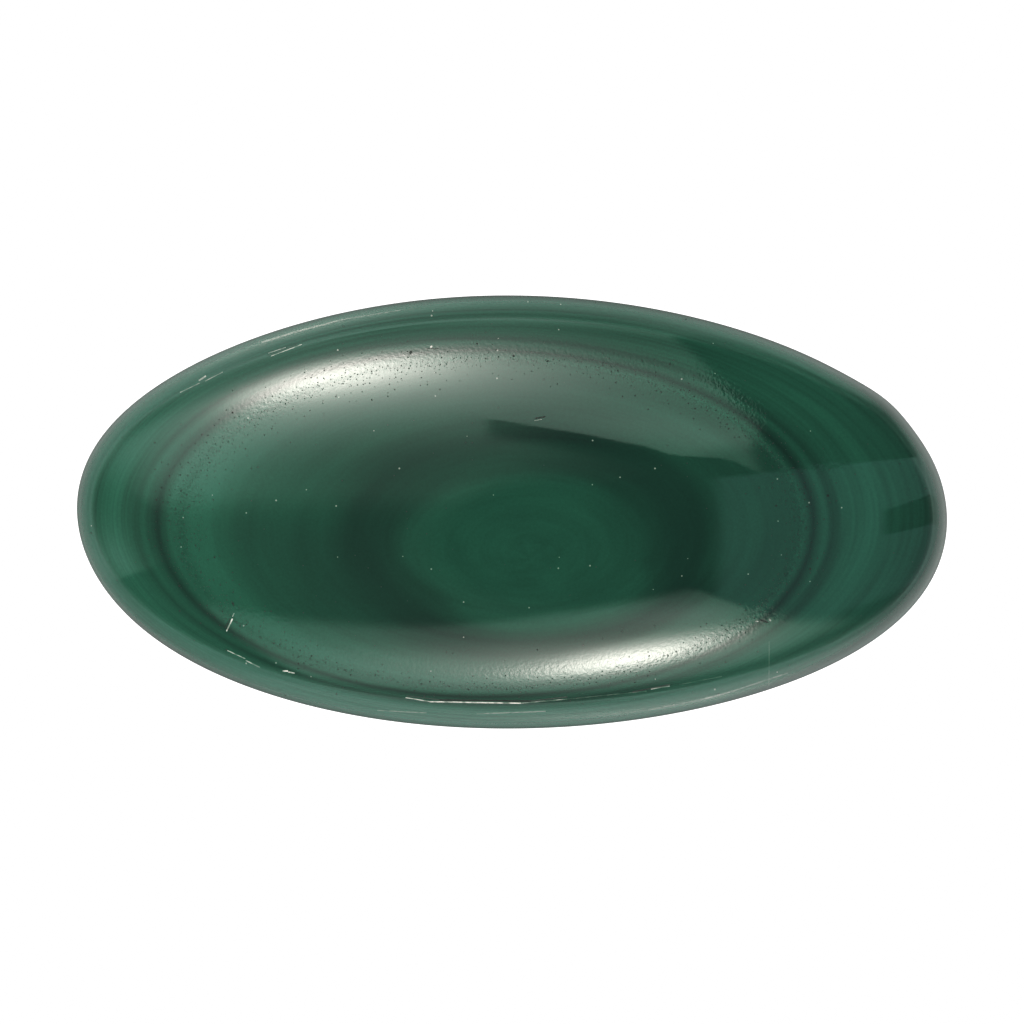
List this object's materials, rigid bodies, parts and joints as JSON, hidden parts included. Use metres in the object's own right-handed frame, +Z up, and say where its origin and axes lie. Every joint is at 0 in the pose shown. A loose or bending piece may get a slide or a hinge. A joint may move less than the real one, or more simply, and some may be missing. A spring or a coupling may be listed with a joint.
{
  "type": "malachite oval",
  "caption": "Polished oval of banded green malachite, domed above and below, with a small flat spot underneath to rest on.",
  "frame": {"origin": "under the middle of the stone, on the plane of the flat spot that it rests on", "axes": "+X along the length, +Y across the width, +Z up from the flat spot through the crest of the dome"},
  "size_m": [0.05, 0.025, 0.0122],
  "materials": {
    "malachite": "polished"
  },
  "bodies": {
    "root": {"stone": "malachite"}
  },
  "joints": []
}
